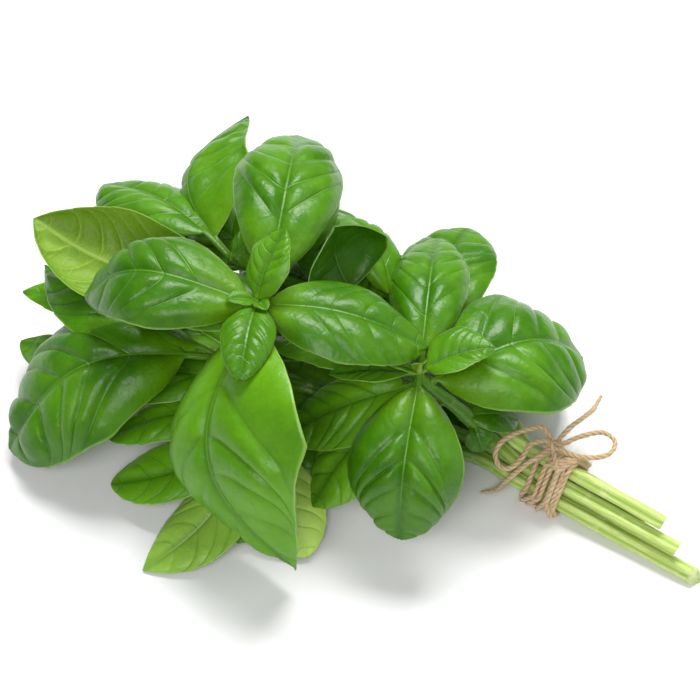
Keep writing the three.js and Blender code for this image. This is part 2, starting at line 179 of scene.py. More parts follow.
# ---- leaf details: lengths in metres, places as shares of the leaf ----
TONES = 0.4  # the most that a leaf without a tone of its own is lighter or darker
YOUNG, YOUNG_PUFF = 0.3, 0.034  # from this youth on a leaf has more side veins and at least this puff
LAST_VEIN = 0.93  # where it leaves the midrib
STALK_ROWS, STALK_HALF, TIP_HALF = 5, 1.1 * MM, 0.25 * MM  # mesh rows, and the least half widths
RIPPLES, TEETH, TOOTH_DEPTH = 2.5, 11, 0.35 * MM  # waves and teeth along the margin
GROOVE_DEPTH, GROOVE_WIDTH = 0.0003, 0.0009  # the midrib on the upper side
RIB_DEPTH, RIB_WIDTH = 0.0009, 0.0007  # the midrib on the underside
VEIN_DEPTH, VEIN_WIDTH = 0.00025, 0.06  # a side vein on the underside, its width as a share of a quilt
UV_SPAN = 0.1  # metres of leaf across the whole map

# ---- free twine routes, and the corners that the binding goes round (as y and z) ----
ROUTES = {
    "bow_loop_left": [
        (64.8, 4.6, 20.4), (62, 4.4, 22.4), (58.5, 0, 22.9), (55.3, -6, 22.4), (55.1, -10.5, 20.4),
        (57.9, -12.5, 18.3), (61.1, -11.5, 18.5), (62.5, -7.5, 19.9), (62.6, -2.5, 21.5), (64.7, 1.7, 20.9)],
    "bow_loop_right": [
        (70.6, 5, 20.5), (74, 9.5, 21.9), (78.4, 13.4, 22.5), (82.8, 13.4, 21.8), (84, 9.8, 20.9),
        (81.4, 6, 20.2), (76, 3, 19.9), (71, 2.1, 19.9)],
    "twine_end_low": [
        (67.1, 0.3, 19.3), (66.5, -3.4, 20), (64.2, -7.4, 18.2), (61, -9.6, 12.4), (58.4, -10.6, 7),
        (56.2, -11.4, 3), (52.6, -13, 1.2)],
    "twine_end_high": [
        (67.9, 6.1, 19.5), (69, 10.5, 21.4), (70, 17, 20.4), (69.5, 23.5, 16.9), (68, 29.5, 13.4),
        (66.9, 33.5, 11.4)],
}
TIE_CORNERS = ((-4.8, 4.7), (6.7, 4.7), (1, 13.9))
KNOT_MIDDLE, KNOT_SIZE = (67.5, 3, 18.8), (2.9, 1.9, 1.9)
WRAPS = (  # place along the stems, tilt, phase and how far it stands off the inner layer
    (66.6, 2.3, 1.1, 0.0), (69.4, 1.0, 1.1, 0.0), (71.6, -1.6, 1.1, 0.0), (73.8, -2.4, 0.9, 0.0),
    (75.6, 0.6, 0.4, 0.0), (70.2, 5.4, 0.8, 1.2), (71.8, 4.8, 0.8, 1.3), (71.0, -4.6, 1.1, 1.4),
    (73.4, 3.0, 0.7, 1.2),
)
STEM_LAY, TWINE_LAY = 0.004, 0.0016  # metres along a stem or the twine for one unit of its streaks' pattern

# ---- stage ----
AIM, TOWARD_CAMERA, CAMERA_DISTANCE = (-0.00923, 0.0139, 0.030), (0.369, -0.527, 0.766), 0.7
LENS, SENSOR = 116, 36  # millimetres
LIGHTS = (  # name, place, width and height, watts
    ("overhead_light", (-0.3, 0.65, 1.35), (0.9, 0.6), 30),
    ("side_light", (1.2, 0.6, 0.9), (0.7, 0.9), 4),
    ("front_light", (0.4, -1.0, 1.15), (0.9, 0.7), 14.5),
)
SKY = 0.18  # how bright the white all round is
FLOOR_HALF, FLOOR_HEIGHT = 2.5, -0.0001


def tint(red, green, blue):
    """The scene-linear colour of an 8-bit screen colour."""
    return tuple(c / 12.92 if c <= 0.04045 else ((c + 0.055) / 1.055) ** 2.4
                 for c in (red / 255, green / 255, blue / 255))


# ---- settings that a user would change ----
COLOUR = dict(subtype="COLOR", min=0, max=1)


class LeafSettings(bpy.types.PropertyGroup):
    blade: FloatProperty(
        name="Blade", description="Thickness of a leaf blade", default=0.00045, unit="LENGTH")
    stalk: FloatProperty(
        name="Leaf stalk", description="Thickness of a leaf stalk", default=0.0019, unit="LENGTH")
    quilting: FloatProperty(
        name="Quilting", description="How strongly the blade puffs up between its veins",
        default=1.0, min=0, max=2, subtype="FACTOR")
    rows_per_quilt: IntProperty(
        name="Rows per quilt", description="Mesh rows from one side vein to the next",
        default=10, min=3, max=16)
    upper: FloatVectorProperty(
        name="Upper side", description="Colour of a grown leaf's upper side",
        default=tint(78, 133, 4), **COLOUR)
    deep: FloatVectorProperty(
        name="Deep green", description="Darker green that the upper side is mottled with",
        default=tint(52, 106, 2), **COLOUR)
    under: FloatVectorProperty(
        name="Underside", description="Colour of a leaf's paler underside",
        default=tint(108, 143, 32), **COLOUR)
    new_growth: FloatVectorProperty(
        name="New growth", description="Colour of the youngest leaves", default=tint(82, 138, 12), **COLOUR)
    vein: FloatVectorProperty(
        name="Veins", description="Colour of the midrib", default=tint(122, 168, 52), **COLOUR)


class StemSettings(bpy.types.PropertyGroup):
    cut_radius: FloatProperty(
        name="Radius at the cut", description="Stem radius at the cut end", default=0.0024, unit="LENGTH")
    tip_radius: FloatProperty(
        name="Radius at the tip", description="Stem radius at the growing tip", default=0.0015, unit="LENGTH")
    pale: FloatVectorProperty(
        name="Stem", description="Colour of the stems below the binding",
        default=tint(206, 222, 140), **COLOUR)
    green: FloatVectorProperty(
        name="Stem groove", description="Colour in the stems' grooves", default=tint(142, 178, 56), **COLOUR)
    pith: FloatVectorProperty(
        name="Pith", description="Colour of the cut ends", default=tint(206, 218, 160), **COLOUR)


class TwineSettings(bpy.types.PropertyGroup):
    diameter: FloatProperty(
        name="Diameter", description="Diameter of the jute twine", default=0.0018, unit="LENGTH")
    pitch: FloatProperty(
        name="Twist", description="Length of one turn of the twine's plies", default=0.0062, unit="LENGTH")
    straw: FloatVectorProperty(
        name="Jute", description="Main colour of the twine", default=tint(238, 212, 168), **COLOUR)
    # colour of the painted shade between the plies
    shade_between_plies: FloatVectorProperty(
        name="Jute in the grooves", description="Colour between the plies",
        default=tint(136, 94, 56), **COLOUR)


class StageSettings(bpy.types.PropertyGroup):
    floor: FloatVectorProperty(
        name="Floor", description="Colour of the floor", default=(0.86, 0.86, 0.86), **COLOUR)
    light: FloatProperty(name="Light", description="Strength of all the lights", default=1.0, min=0, max=5)


# ---- shader maths ----
class Value:
    """A number that varies over a surface. + - and * on it add Math nodes."""

    def __init__(self, finish, socket):
        self.finish, self.socket = finish, socket

    def _math(self, operation, *given):
        made = self.finish.node("ShaderNodeMath", {"operation": operation}, dict(enumerate(given)))
        return Value(self.finish, made.outputs[0])

    def __add__(self, other):
        return self._math("ADD", self, other)

    __radd__ = __add__

    def __sub__(self, other):
        return self._math("SUBTRACT", self, other)

    def __rsub__(self, other):
        return self._math("SUBTRACT", other, self)

    def __mul__(self, other):
        return self._math("MULTIPLY", self, other)

    __rmul__ = __mul__

    def away_from(self, middle):
        """Distance from a number."""
        return self._math("ABSOLUTE", self - middle)

    def part(self):
        """What is left after the whole number is taken off."""
        return self._math("FRACT", self)

    def step(self, low, high, out_low=0.0, out_high=1.0):
        """A smooth step from out_low at low to out_high at high."""
        made = self.finish.node(
            "ShaderNodeMapRange", {"interpolation_type": "SMOOTHSTEP"},
            {"Value": self, "From Min": low, "From Max": high, "To Min": out_low, "To Max": out_high})
        return Value(self.finish, made.outputs["Result"])


class Finish:
    """A material that is put together node by node."""

    def __init__(self, name):
        self.material = bpy.data.materials.new(name)
        self.material.use_nodes = True
        self.tree = self.material.node_tree
        self.tree.nodes.clear()
        self.place = self.node("ShaderNodeTexCoord").outputs["Object"]

    def node(self, kind, settings=None, inputs=None):
        """One node of a type: its settings are set first, then its sockets get values or links."""
        made = self.tree.nodes.new(kind)
        for key, value in (settings or {}).items():
            setattr(made, key, value)
        for key, value in (inputs or {}).items():
            if isinstance(value, Value):
                value = value.socket
            if isinstance(value, bpy.types.NodeSocket):
                self.tree.links.new(value, made.inputs[key])
            elif made.inputs[key].type == "RGBA":
                made.inputs[key].default_value = (*value, 1)
            else:
                made.inputs[key].default_value = value
        return made

    def attribute(self, name):
        return Value(self, self.node("ShaderNodeAttribute", {"attribute_name": name}).outputs["Fac"])

    def noise(self, scale, detail, roughness, where=None):
        where = self.place if where is None else where
        made = self.node("ShaderNodeTexNoise", None,
                         {"Vector": where, "Scale": scale, "Detail": detail, "Roughness": roughness})
        return Value(self, made.outputs["Fac"])

    def streaks(self, scale, detail, roughness, squeeze):
        """Noise that is drawn out along a stem or the twine."""
        lay = self.node("ShaderNodeAttribute", {"attribute_name": "lay"}).outputs["Vector"]
        drawn = self.node("ShaderNodeMapping", None, {"Vector": lay, "Scale": (1.0, 1.0, squeeze)})
        return self.noise(scale, detail, roughness, drawn.outputs[0])

    def layers(self, colour, *over):
        """A colour with others laid over it in turn, each by its share from 0 to 1."""
        for share, layer in over:
            made = self.node("ShaderNodeMix", {"data_type": "RGBA", "clamp_factor": True},
                             {0: share, 6: colour, 7: layer})
            colour = made.outputs[2]
        return colour

    def bump(self, height, distance, strength, **under):
        inputs = {"Height": height, "Distance": distance, "Strength": strength, **under}
        return self.node("ShaderNodeBump", None, inputs).outputs["Normal"]

    def surface(self, **inputs):
        """The Principled shader, its sockets named with _ for spaces, and the output."""
        shader = self.node("ShaderNodeBsdfPrincipled", None,
                           {k.replace("_", " "): v for k, v in inputs.items()})
        self.node("ShaderNodeOutputMaterial", None, {"Surface": shader.outputs[0]})
        return self.material


class LeafFinish(Finish):
    """A leaf's material, with what both sides read: distances from midrib, side veins and net, and looks."""

    def __init__(self, name):
        super().__init__(name)
        uv = self.node("ShaderNodeUVMap", {"uv_map": "blade"}).outputs[0]
        split = self.node("ShaderNodeSeparateXYZ", None, {0: uv})
        cells = self.node("ShaderNodeTexVoronoi", {"feature": "DISTANCE_TO_EDGE"},
                          {"Vector": uv, "Scale": 30})
        self.across = Value(self, split.outputs["Y"]).away_from(0.5)
        self.from_net = Value(self, cells.outputs["Distance"])
        self.from_vein = self.attribute("lateral").part().away_from(0.5)
        for name in ("along", "tone", "relief", "young"):
            setattr(self, name, self.attribute(name))


def kept(name, make):
    """A material by name, made the first time it is asked for."""
    return bpy.data.materials.get(name) or make(name)


# ---- small helpers for arrays ----
def placed(points):
    """Points of the tables in metres, in the object's frame."""
    return np.array(points) * MM + PLACE


def unit(vectors):
    """Vectors of length 1."""
    return vectors / np.maximum(np.linalg.norm(vectors, axis=-1, keepdims=True), 1e-12)


def turns(count):
    """Angles at equal steps round a full turn."""
    return 2 * np.pi * np.arange(count) / count


def smooth(x, low, high):
    """0 below low, 1 above high, and a smooth step between."""
    t = np.clip((x - low) / (high - low), 0, 1)
    return t * t * (3 - 2 * t)


def bell(x, width):
    """1 at 0, falling as a Gaussian: exp(-(x / width) squared)."""
    return np.exp(-((x / width) ** 2))


def run_of(line):
    """Distance along a polyline at each of its points."""
    return np.concatenate([[0], np.cumsum(np.linalg.norm(np.diff(line, axis=0), axis=1))])


def even_line(points, t):
    """Catmull-Rom curve by index: the points are passed at equal steps of t from 0 to 1."""
    p = np.asarray(points, float)
    last = len(p) - 1
    i = np.minimum((t * last).astype(int), last - 1)
    f = (t * last - i)[:, None]
    p0, p1, p2, p3 = p[np.maximum(i - 1, 0)], p[i], p[i + 1], p[np.minimum(i + 2, last)]
    return 0.5 * (2 * p1 + (p2 - p0) * f + (2 * p0 - 5 * p1 + 4 * p2 - p3) * f**2
                  + (3 * p1 - p0 - 3 * p2 + p3) * f**3)


def respaced(fine, count):
    """A dense polyline sampled at equal distances."""
    run = run_of(fine)
    at = np.linspace(0, run[-1], count)
    return np.stack([np.interp(at, run, fine[:, k]) for k in range(3)], axis=1)


def spaced_line(points, count):
    """The Catmull-Rom curve through points, as count points at equal distances along it."""
    return respaced(even_line(points, np.linspace(0, 1, 60 * len(points))), count)


def grid_faces(rows, cols, wrap_cols=False, wrap_rows=False, flip=False):
    """Quads of a grid of points, numbered row by row."""
    i = np.arange(rows if wrap_rows else rows - 1)[:, None]
    j = np.arange(cols if wrap_cols else cols - 1)[None, :]
    a, b = i * cols + j, i * cols + (j + 1) % cols
    c, d = (i + 1) % rows * cols + (j + 1) % cols, (i + 1) % rows * cols + j
    quads = np.stack([a, b, c, d], axis=-1).reshape(-1, 4)
    return quads[:, ::-1] if flip else quads


def piece(name, points, quads, tris, materials, values, slots=None, uv=None, nodes=()):
    """A mesh object from arrays that rides on the body and stands for its CAD nodes."""
    mesh = bpy.data.meshes.new(name)
    faces = quads.tolist() + (tris.tolist() if tris is not None else [])
    mesh.from_pydata(points.tolist(), [], faces)
    mesh.polygons.foreach_set("use_smooth", np.ones(len(faces), bool))
    for material in materials:
        mesh.materials.append(material)
    if slots is not None:
        mesh.polygons.foreach_set("material_index", np.asarray(slots, np.int32))
    for key, data in values.items():
        kind, field = ("FLOAT", "value") if data.ndim == 1 else ("FLOAT_VECTOR", "vector")
        mesh.attributes.new(key, kind, "POINT").data.foreach_set(field, data.astype(np.float32).ravel())
    if uv is not None:
        loops = np.zeros(len(mesh.loops), np.int32)
        mesh.loops.foreach_get("vertex_index", loops)
        mesh.uv_layers.new(name="blade").data.foreach_set("uv", uv[loops].astype(np.float32).ravel())
    mesh.update()
    made = bpy.data.objects.new(name, mesh)
    bpy.context.scene.collection.objects.link(made)
    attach(made, BODY)
    if nodes:
        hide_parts(*nodes)
    return made


# ---- finishes ----
def leaf_upper_finish(name):
    """Satin upper side: mottled green, yellower toward the stalk, painted shade along the vein grooves, a
    pale rim with a painted highlight, painted light and shade on some leaves.
    """
    look = bpy.context.scene.basil_leaves
    f = LeafFinish(name)
    edge = f.attribute("edge")
    clouds = f.noise(45, 3, 0.55)
    blotch = f.noise(140, 3, 0.6)
    grain = f.noise(600, 2, 0.6)
    pale = f.tone.step(1, 2)
    blade = f.across.step(0.0, 0.012)
    net = f.from_net.step(0.0, 0.2)
    # patchy noise for how strongly the veins show: in their painted shade, their pale line and their bump
    vein_strength = f.noise(60, 2, 0.5).step(0.36, 0.64) * f.relief
    # painted shade in the grooves of the side veins and beside the midrib
    vein_groove_shade = f.from_vein.step(0.1, 0.0) * blade * (vein_strength * 0.3 + 0.05) + f.across.step(0.02, 0.003) * 0.4
    green = f.layers(
        look.deep,
        (clouds.step(0.34, 0.66), look.upper),
        (blotch.step(0.42, 0.72) * 0.3, tint(96, 147, 12)),
        (f.along.step(0.34, 0.05) * 0.5, tint(116, 160, 10)),  # toward the stalk
        (f.young, look.new_growth),
        # lighter leaves: a leaf's own lighter green, and painted light on leaves that lie in the shade of
        # others
        (f.tone.step(0, 1) * 0.6, tint(106, 168, 22)),  # light leaves
        # darker leaves: a leaf's own deeper green, and painted shade on leaves in dark hollows
        (f.tone.step(0, -1) * 0.7, tint(34, 82, 2)),  # dark leaves
        # the palest leaves: partly their own paler green and partly painted light on low leaves that lie in
        # shade
        (pale * 0.9, tint(200, 236, 112)),  # the palest leaves
        # painted shade in the grooves beside the veins and the midrib
        (vein_groove_shade * (1 - pale * 0.8), tint(30, 84, 0)),  # beside the veins and the midrib
        (net.step(1.0, 0.0) * (1 - pale) * 0.07, tint(36, 92, 0)),  # the net of fine veins
        (f.from_vein.step(0.03, 0.008) * blade * edge.step(0.9, 0.6) * vein_strength * 0.4, tint(112, 162, 48)),
        (f.across.step(0.003, 0.0012) * f.along.step(0.98, 0.4) * 0.4, look.vein),
        (f.across.step(0.0045, 0.0015) * f.along.step(1.0, 0.6) * pale, tint(214, 230, 170)),
        # the rim: the margin's paler green with a painted highlight where the edge catches the light
        (edge.step(0.955, 0.995) * 0.55, tint(150, 188, 96)),  # the rim
    )
    fine = f.bump(net + grain * 0.5, 0.00009, 0.35)
    fine = f.bump(f.from_vein.step(0.0, 0.07) * (vein_strength + 0.2), 0.0004, 0.45, Normal=fine)
    normal = f.bump(f.noise(130, 4, 0.55), 0.0014, 0.4, Normal=fine)
    rough = clouds.step(0.3, 0.7, 0.29, 0.38) + grain.step(0.3, 0.8, 0.0, 0.08)
    return f.surface(
        Base_Color=green, Roughness=rough, Normal=normal, IOR=1.45, Specular_IOR_Level=0.36,
        Subsurface_Weight=0.12, Subsurface_Radius=(0.5, 1.0, 0.05), Subsurface_Scale=0.001)


def leaf_under_finish(name):
    """Matt underside: paler yellowish green with raised veins."""
    f = LeafFinish(name)
    clouds = f.noise(70, 3, 0.6)
    net = f.from_net.step(0.14, 0.0)
    vein = f.from_vein.step(0.06, 0.01) * f.across.step(0.0, 0.012)
    green = f.layers(
        tint(92, 136, 18),
        (clouds.step(0.3, 0.7), bpy.context.scene.basil_leaves.under),
        (net * 0.25, tint(134, 172, 64)),
        (f.young * 0.8, tint(118, 152, 14)),
        # darker leaves: a leaf's own deeper green, and painted shade on leaves in dark hollows
        (f.tone.step(0, -1) * 0.7, tint(34, 84, 10)),  # dark leaves
        (vein * f.relief.step(0.0, 1.0, 0.0, 0.26), tint(154, 186, 80)),
        (f.across.step(0.008, 0.003) * f.relief.step(0.0, 1.0, 0.1, 0.5), tint(160, 190, 88)),  # the midrib
        (f.along.step(0.12, 0.0) * 0.6, tint(140, 176, 60)),  # toward the stalk
    )
    return f.surface(
        Base_Color=green, Roughness=clouds.step(0.3, 0.7, 0.5, 0.6), Normal=f.bump(net + vein, 0.00012, 0.6),
        IOR=1.42, Subsurface_Weight=0.12, Subsurface_Radius=(0.5, 1.0, 0.1), Subsurface_Scale=0.001)


def stem_finish(name):
    """Fleshy skin with long streaks, greener in the grooves, greener and darker toward the leaves (partly
    painted shade beneath them), pale pith at the cut.
    """
    look = bpy.context.scene.basil_stems
    f = Finish(name)
    streaks = f.streaks(6.0, 3, 0.6, 0.12)
    threads = f.streaks(22.0, 2, 0.6, 0.05)
    spots = f.noise(240, 3, 0.6)
    skin = f.layers(
        tint(172, 198, 92),
        (streaks.step(0.3, 0.7), look.pale),
        (f.attribute("groove") * 0.75, look.green),
        # toward the leaves: the stem's own greener colour, darkened as painted shade beneath the leaves
        (f.attribute("height").step(0.3, 0.55), tint(78, 130, 14)),
        (spots.step(0.56, 0.74) * 0.4, tint(222, 230, 176)),
        (f.attribute("cut"), look.pith),
    )
    return f.surface(
        Base_Color=skin, Roughness=streaks.step(0.2, 0.8, 0.36, 0.5), IOR=1.42,
        Normal=f.bump(threads + streaks * 0.8, 0.00018, 0.5),
        Subsurface_Weight=0.25, Subsurface_Radius=(0.7, 1.0, 0.3), Subsurface_Scale=0.0015)


def jute_finish(name):
    """Dry jute: straw-coloured fibres laid along the ply, darker with painted shade between the plies."""
    look = bpy.context.scene.basil_twine
    f = Finish(name)
    fibres = f.streaks(9.0, 4, 0.7, 0.16)
    coarse = f.noise(160, 3, 0.6)
    straw = f.layers(
        tint(206, 172, 126),
        (fibres.step(0.3, 0.7), look.straw),
        (coarse.step(0.5, 0.72) * 0.5, tint(244, 224, 190)),
        # painted shade between the plies
        (f.attribute("groove") * 0.9, look.shade_between_plies),
    )
    return f.surface(
        Base_Color=straw, Roughness=fibres.step(0.2, 0.8, 0.74, 0.92), Normal=f.bump(fibres, 0.00035, 0.9),
        IOR=1.4, Specular_IOR_Level=0.3, Sheen_Weight=0.25, Sheen_Roughness=0.5)


def fibre_finish(name):
    """Loose jute fibres: pale straw, lighter and darker along their length."""
    f = Finish(name)
    along = f.noise(300, 2, 0.5)
    straw = f.layers(tint(150, 122, 86), (along.step(0.3, 0.7), tint(204, 182, 146)))
    return f.surface(Base_Color=straw, Roughness=along.step(0.2, 0.8, 0.7, 0.85), IOR=1.4)


# ---- leaves ----
def leaf_sheet(base, tip, width, form, u, v):
    """Middle surface of a leaf, u from 0 at the stalk to 1 at the tip, v from -1 to 1 across.

    The face looks up, turned about the chord by the roll. The midrib is the chord bowed by a half sine wave
    out of the face and across it. Across the midrib each half starts at its fold angle and curls
    down along a circle; its reach is half the width times an outline that rises as a flattened ellipse to the
    widest place and falls as another to the tip; the margin is waved by a sine along the leaf.
    Returns the points and the half width at each.
    """
    length = np.linalg.norm(tip - base)
    a = (tip - base) / length
    up = unit(np.array([0.0, 0.0, 1.0]) - a * a[2])
    roll = math.radians(form["roll"])
    face = up * math.cos(roll) + np.cross(a, up) * math.sin(roll)
    side = np.cross(a, face)

    def middle(u):
        hump = np.sin(np.pi * np.clip(u, 0, 1) ** form["nod"])[..., None]
        return (base + a * (u * length)[..., None] + face * hump * form["arch"] * MM
                + side * hump * form["bend"] * MM)

    def each_half(key):
        angles = form[key] if isinstance(form[key], tuple) else (form[key], form[key])
        return np.radians(np.where(v < 0, *angles))

    t = unit(middle(u + 0.001) - middle(u - 0.001))
    s = unit(side - t * (t @ side)[..., None])
    n = np.cross(s, t)
    stalk, widest = form["stalk"], form["widest"]
    q = np.clip((u - stalk) / (1 - stalk), 0, 1)
    shape = np.where(q < widest, (1 - (np.clip(widest - q, 0, 1) / widest) ** 2) ** 0.6,
                     (1 - (np.clip(q - widest, 0, 1) / (1 - widest)) ** 2) ** form["point"])
    w = np.maximum(width / 2 * shape, np.where(u < 0.9, STALK_HALF, TIP_HALF))
    fold, curl, av = each_half("fold"), each_half("curl"), np.abs(v)
    x = (np.sin(fold) - np.sin(fold - curl * av)) / curl * np.sign(v)
    z = (np.cos(fold - curl * av) - np.cos(fold)) / curl
    z = z + form["ripple"] * av**2 * np.sin(2 * np.pi * (RIPPLES * u + 0.37 * np.sign(v)))
    return middle(u) + s * (w * x)[..., None] + n * (w * z)[..., None], w


def vein_rows(stalk, veins, per_quilt, rng):
    """Mesh rows of a leaf: where each leaves the midrib, and its count of side veins passed so far.

    A row lies on every side vein, so the grooves between the quilts stay crisp.
    """
    at = stalk + (LAST_VEIN - stalk) * (np.arange(veins + 1) / veins) ** 0.95
    at[1:-1] += rng.uniform(-0.25, 0.25, veins - 1) * (LAST_VEIN - stalk) / veins * 0.5
    knots = np.concatenate([[stalk], at[1:], [1.0]])
    fine = np.linspace(0, veins + 1, (veins + 1) * per_quilt + 1)
    blade = np.interp(fine, np.arange(veins + 2), knots)
    bare = np.linspace(0, stalk, STALK_ROWS + 1)[:-1]
    return np.concatenate([bare, blade]), np.concatenate([np.zeros(STALK_ROWS), fine])


def leaf(name, base, tip, width, form, seed, nodes, thin):
    """A leaf as one closed shell.

    Rows follow the side veins: a row that leaves the midrib at c reaches u = c + r(c) g(v), where g grows
    from 0 at the midrib to 1 at the margin and r is the sweep, none at the stalk and less toward the tip.
    Between two side veins the blade rises as a flattened half sine; it sinks along the midrib, and the two
    faces stand apart by the blade's thickness, which grows to a rib below the midrib and to a round stalk.
    """
    look = bpy.context.scene.basil_leaves
    rng = np.random.default_rng(seed)
    full = {**LEAF, "tone": rng.uniform(-TONES, TONES), **form}
    stalk, young, veins, half = full["stalk"], full["young"] > YOUNG, 4 if thin else 5, 9 if thin else 17
    if young:
        full["puff"], veins = max(full["puff"], YOUNG_PUFF), 6
    per_quilt = max(4, look.rows_per_quilt // 2) if thin else look.rows_per_quilt
    c, passed = vein_rows(stalk, veins, per_quilt, rng)
    k = np.linspace(0, 1, half + 1)
    k = 0.42 * k + 0.58 * k * k * (3 - 2 * k)
    c, v = np.meshgrid(c, np.concatenate([-k[:0:-1], k]), indexing="ij")
    passed = np.repeat(passed[:, None], v.shape[1], axis=1)
    av = np.abs(v)
    # the side veins of one half leave the midrib before those of the other, and all sweep forward
    sweep = full["rise"] * (1 - c) * smooth(c, stalk, stalk + 0.24)
    offset = rng.uniform(0.012, 0.03) * rng.choice((-1, 1)) * np.tanh(v / 0.15) * smooth(
        c, stalk, stalk + 0.1) * (1 - smooth(c, 0.8, 1.0))
    u = np.clip(c + offset + sweep * (0.4 * av + 0.6 * av**2), 0, 1)

    def sheet(u, v):
        return leaf_sheet(base, tip, width, full, u, v)[0]

    p, w = leaf_sheet(base, tip, width, full, u, v)
    du = sheet(np.minimum(u + 0.004, 1), v) - sheet(np.maximum(u - 0.004, 0), v)
    dv = sheet(u, np.minimum(v + 0.02, 1)) - sheet(u, np.maximum(v - 0.02, -1))
    n = unit(np.cross(dv, du))

    # quilts, a slight wobble and the sunken midrib
    across = w * av
    blade_part = smooth(u, stalk, stalk + 0.1)
    gap = passed - np.floor(passed)
    uneven = rng.uniform(0.4, 1.4, (2, veins + 2))[(v > 0).astype(int), np.floor(passed).astype(int)]
    quilt = np.sin(np.pi * gap) ** 0.45 * uneven
    window = smooth(across, 0.0002, 0.004) * (1 - smooth(av, 0.6, 1.0)) * blade_part * (
        1 - smooth(u, 0.9, 1.0))
    wobble = sum(np.sin(2 * np.pi * (fu * u + fv * v + rng.uniform()))
                 for fu, fv in ((1.3, 0.4), (2.1, -0.9), (0.6, 1.5)))
    height = (quilt * window * full["puff"] * width * look.quilting * rng.uniform(0.85, 1.15)
              + wobble * 0.004 * width * blade_part * smooth(av, 0.0, 0.5))
    groove = bell(across, GROOVE_WIDTH) * blade_part * (1 - smooth(u, 0.6, 1.0))
    height = height - GROOVE_DEPTH * groove
    # shallow teeth on the margin point toward the tip
    teeth = (u * TEETH + rng.uniform()) % 1
    jut = np.sign(v) * av**12 * (TOOTH_DEPTH * (teeth - 0.5)) * blade_part * (1 - smooth(u, 0.93, 1.0))
    p = p + unit(dv) * jut[..., None]
    p = p + n * height[..., None]
    p[..., 2] = np.maximum(p[..., 2], look.blade * 0.6)

    # thickness of the blade and of the round stalk, and the ribs below the midrib and the side veins
    rounded = np.sqrt(np.maximum(1 - v**2, 0.02))
    stalk_part = 1 - smooth(u / stalk, 0.6, 1.5)
    thick = look.blade * (0.45 + 0.55 * rounded) * (1 - stalk_part) + look.stalk * rounded * stalk_part
    rib = RIB_DEPTH * bell(across, RIB_WIDTH) * (1 - smooth(u, 0.2, 0.95)) * (1 - stalk_part)
    rib = rib + VEIN_DEPTH * bell((gap + 0.5) % 1 - 0.5, VEIN_WIDTH) * window
    top, low = p + n * (thick / 2)[..., None], p - n * (thick / 2 + rib)[..., None]
    top[..., 2], low[..., 2] = np.maximum(top[..., 2], 0), np.maximum(low[..., 2], 0)

    # both faces, and the edge that closes them all the way round
    count = v.size
    grid = np.arange(count).reshape(v.shape)
    upper, lower = grid_faces(*v.shape), grid_faces(*v.shape, flip=True) + count
    rim = np.concatenate([grid[0], grid[1:, -1], grid[-1, -2::-1], grid[-2:0:-1, 0]])
    following = np.roll(rim, -1)
    edge = np.stack([rim, rim + count, following + count, following], axis=-1)
    uv = np.stack([u * np.linalg.norm(tip - base) / UV_SPAN, 0.5 + w * v / UV_SPAN], axis=-1).reshape(-1, 2)
    slots = np.repeat([0, 1, 0], [len(upper), len(lower), len(edge)])
    values = {"along": u, "lateral": passed + 0.5, "young": full["young"], "tone": full["tone"], "edge": av,
              "relief": min(full["puff"] / LEAF["puff"], 1.3)}
    return piece(name, np.concatenate([top.reshape(-1, 3), low.reshape(-1, 3)]),
                 np.concatenate([upper, lower, edge]), None,
                 [kept("basil_leaf_upper", leaf_upper_finish), kept("basil_leaf_under", leaf_under_finish)],
                 {key: np.tile(np.broadcast_to(x, v.shape).ravel(), 2) for key, x in values.items()},
                 slots, np.concatenate([uv, uv]), nodes)


# ---- tubes: stems and twine ----
def tube(line, out, reach, closed=False):
    """A skin round a line: row i stands reach[i, j] metres off it at the j-th angle, turned from out to side.

    Returns points, quads and end triangles.
    """
    rows, sides = reach.shape
    ahead = np.roll(line, -1, axis=0) - np.roll(line, 1, axis=0)
    if not closed:
        ahead[0], ahead[-1] = line[1] - line[0], line[-1] - line[-2]
    ahead = unit(ahead)
    out = unit(out - ahead * np.sum(out * ahead, axis=1, keepdims=True))
    side = np.cross(ahead, out)
    angle = turns(sides)
    points = (line[:, None] + out[:, None] * (reach * np.cos(angle))[..., None]
              + side[:, None] * (reach * np.sin(angle))[..., None]).reshape(-1, 3)
    quads = grid_faces(rows, sides, wrap_cols=True, wrap_rows=closed)
    if closed:
        return points, quads, None
    j = np.arange(sides)
    k, end, middle = (j + 1) % sides, (rows - 1) * sides, np.full(sides, rows * sides)
    caps = np.concatenate([np.stack([middle, k, j], axis=1),
                           np.stack([middle + 1, end + j, end + k], axis=1)])
    return np.concatenate([points, line[[0, -1]]]), quads, caps


def lay_of(angle, run, span):
    """Where each point lies: cosine and sine of its angle, and its distance along in units of span."""
    along = np.broadcast_to(run[:, None] / span, angle.shape)
    return np.stack([np.cos(angle), np.sin(angle), along], axis=-1).reshape(-1, 3)


